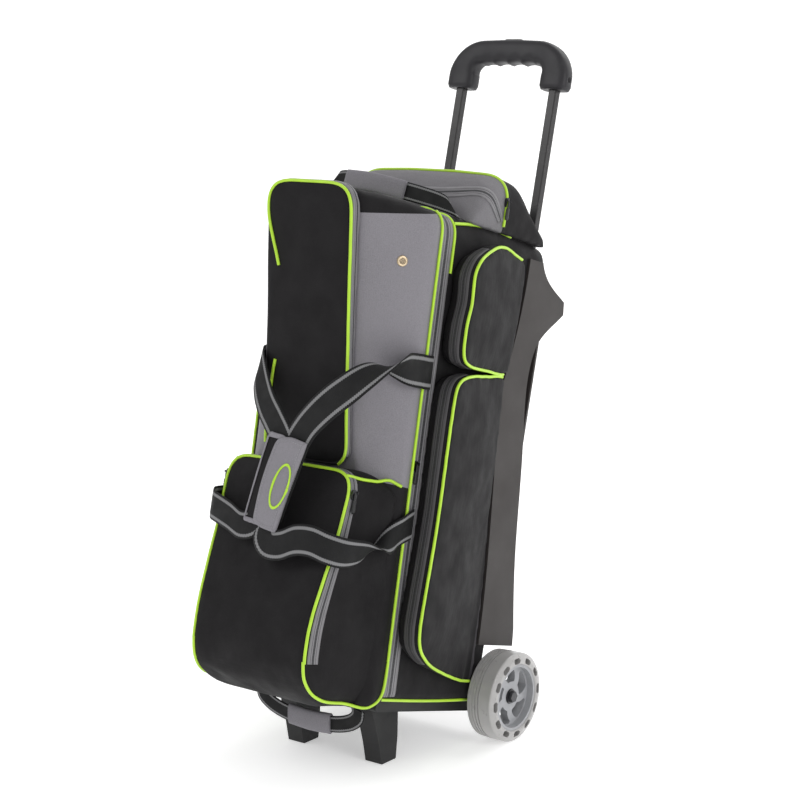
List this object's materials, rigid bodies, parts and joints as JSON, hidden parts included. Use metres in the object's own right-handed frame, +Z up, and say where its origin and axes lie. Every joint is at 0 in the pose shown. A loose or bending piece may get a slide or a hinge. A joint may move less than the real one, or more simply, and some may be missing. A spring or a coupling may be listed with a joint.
{
  "type": "rolling bowling bag",
  "caption": "Soft-sided upright bowling bag on two wheels, with a telescopic tow handle, hinged zip lid, pockets and carry straps.",
  "frame": {"origin": "on the floor, under the middle of the bag", "axes": "+Z up, the bag's front faces -Y, +X to the right of someone looking at its front"},
  "size_m": [0.356, 0.6284, 0.9756],
  "materials": {
    "black_plastic": "moulded, fine grain",
    "grip_plastic": "soft-touch dark gray",
    "steel": "black zinc",
    "black_tube": "black anodised",
    "rod": "plain",
    "clear_tyre": "translucent gray polyurethane",
    "hub_plastic": "light gray",
    "black_fabric": "woven polyester",
    "gray_fabric": "woven polyester",
    "foam": "foam covered with brushed cloth",
    "zip_tape": "coil zip tape",
    "webbing": "woven webbing",
    "brass_eyelet": "worn",
    "zip_metal": "black enamel"
  },
  "bodies": {
    "chassis": {"axle": "steel", "axle_bolts": "steel", "back_panel": "black_plastic", "base_tray": "black_plastic", "bracket_bolts": "steel", "foot_screws": "steel", "guard_screws": "steel", "handle_guide": "black_plastic", "left_foot": "black_plastic", "left_lower_pocket": "black_fabric", "left_outer_tube": "black_tube", "left_side_guard": "black_plastic", "left_upper_pocket": "black_fabric", "lower_ball_cup": "foam", "middle_ball_cup": "foam", "right_foot": "black_plastic", "right_lower_pocket": "black_fabric", "right_outer_tube": "black_tube", "right_side_guard": "black_plastic", "right_upper_pocket": "black_fabric", "top_pocket": "black_fabric", "tub_shell": "black_fabric", "tube_bracket": "black_plastic", "upper_ball_cup": "foam", "zip_tape": "zip_tape"},
    "left_wheel": {"left_tyre": "clear_tyre", "left_hub": "hub_plastic", "left_bearings": "steel"},
    "right_wheel": {"right_tyre": "clear_tyre", "right_hub": "hub_plastic", "right_bearings": "steel"},
    "tow_handle": {"left_inner_tube": "black_tube", "right_inner_tube": "black_tube", "grip": "grip_plastic", "grip_screws": "steel", "end_plugs": "black_plastic", "button_spring": "steel"},
    "button": {"release_button": "grip_plastic", "lock_yoke": "rod"},
    "left_pin": {"left_lock_pin": "steel"},
    "right_pin": {"right_lock_pin": "steel"},
    "lid": {"lid_shell": "gray_fabric", "front_pocket": "black_fabric", "shoe_pocket": "black_fabric", "vent_eyelets": "brass_eyelet", "left_carry_strap": "webbing", "wrap_grip": "gray_fabric"},
    "right_strap": {"right_carry_strap": "webbing"},
    "top_grab": {"top_handle": "webbing", "top_handle_sleeve": "gray_fabric"},
    "bottom_grab": {"bottom_handle": "webbing", "bottom_handle_sleeve": "gray_fabric"},
    "main_zip_runner": {"main_zip_slider": "zip_metal"},
    "main_zip_pull": {"main_zip_tab": "zip_metal"},
    "shoe_zip_right_runner": {"shoe_zip_right_slider": "zip_metal"},
    "shoe_zip_right_pull": {"shoe_zip_right_tab": "zip_metal"},
    "shoe_zip_left_runner": {"shoe_zip_left_slider": "zip_metal"},
    "shoe_zip_left_pull": {"shoe_zip_left_tab": "zip_metal"},
    "top_zip_runner": {"top_zip_slider": "zip_metal"},
    "top_zip_pull": {"top_zip_tab": "zip_metal"}
  },
  "joints": [
    {"name": "left_wheel_spin", "type": "hinge", "parent": "chassis", "child": "left_wheel", "pos_m": [-0.156, 0.058, 0.0635], "axis": [1, 0, 0], "continuous": true},
    {"name": "right_wheel_spin", "type": "hinge", "parent": "chassis", "child": "right_wheel", "pos_m": [0.156, 0.058, 0.0635], "axis": [1, 0, 0], "continuous": true},
    {"name": "tow_handle_slide", "type": "slide", "parent": "chassis", "child": "tow_handle", "axis": [0, 0.2588, 0.9659], "range_m": [-0.27, 0]},
    {"name": "button_press", "type": "slide", "parent": "tow_handle", "child": "button", "axis": [0, -0.2588, -0.9659], "range_m": [0, 0.004], "stiffness_N_per_m": 800, "springref_m": -0.003, "deforming": ["button_spring"]},
    {"name": "left_pin_slide", "type": "slide", "parent": "tow_handle", "child": "left_pin", "axis": [1, 0, 0], "range_m": [0, 0.0031]},
    {"name": "right_pin_slide", "type": "slide", "parent": "tow_handle", "child": "right_pin", "axis": [-1, 0, 0], "range_m": [0, 0.0031]},
    {"name": "lid_hinge", "type": "hinge", "parent": "chassis", "child": "lid", "pos_m": [-0.132, -0.12304, 0.42217], "axis": [0, -0.2079, -0.9781], "range_deg": [0, 70]},
    {"name": "right_strap_swing", "type": "hinge", "parent": "chassis", "child": "right_strap", "pos_m": [0.138, -0.11326, 0.42009], "axis": [0, 0.2079, 0.9781], "range_deg": [0, 101]},
    {"name": "top_grab_swing", "type": "hinge", "parent": "chassis", "child": "top_grab", "pos_m": [0, -0.00702, 0.74039], "axis": [1, 0, 0], "range_deg": [-20, 35]},
    {"name": "bottom_grab_swing", "type": "hinge", "parent": "chassis", "child": "bottom_grab", "pos_m": [0, -0.18449, 0.09742], "axis": [1, 0, 0], "range_deg": [-40, 20]},
    {"name": "main_zip_slide", "type": "slide", "parent": "chassis", "child": "main_zip_runner", "axis": [0, 0.2079, 0.9781], "range_m": [-0.13, 0]},
    {"name": "main_zip_pull_swing", "type": "hinge", "parent": "main_zip_runner", "child": "main_zip_pull", "pos_m": [0.1326, -0.11753, 0.42406], "axis": [0, -0.9781, 0.2079], "range_deg": [0, 90]},
    {"name": "shoe_zip_right_slide", "type": "slide", "parent": "lid", "child": "shoe_zip_right_runner", "axis": [0, 0.2079, 0.9781], "range_m": [-0.19, 0]},
    {"name": "shoe_zip_right_pull_swing", "type": "hinge", "parent": "shoe_zip_right_runner", "child": "shoe_zip_right_pull", "pos_m": [0.11109, -0.22242, 0.40137], "axis": [-0.2334, -0.9511, 0.2022], "range_deg": [0, 90]},
    {"name": "shoe_zip_left_slide", "type": "slide", "parent": "lid", "child": "shoe_zip_left_runner", "axis": [0, 0.2079, 0.9781], "range_m": [-0.19, 0]},
    {"name": "shoe_zip_left_pull_swing", "type": "hinge", "parent": "shoe_zip_left_runner", "child": "shoe_zip_left_pull", "pos_m": [-0.11109, -0.22242, 0.40137], "axis": [-0.2334, 0.9511, -0.2022], "range_deg": [0, 90]},
    {"name": "top_zip_slide", "type": "slide", "parent": "chassis", "child": "top_zip_runner", "axis": [0, 0.2588, 0.9659], "range_m": [-0.02, 0]},
    {"name": "top_zip_pull_swing", "type": "hinge", "parent": "top_zip_runner", "child": "top_zip_pull", "pos_m": [0.1351, 0.08885, 0.75819], "axis": [0, -0.9659, 0.2588], "range_deg": [0, 90]}
  ],
  "couplings": [
    {"joint": "left_pin_slide", "follows": "button_press", "ratio": 0.75},
    {"joint": "right_pin_slide", "follows": "button_press", "ratio": 0.75},
    {"joint": "right_strap_swing", "follows": "lid_hinge", "ratio": 1.44}
  ]
}
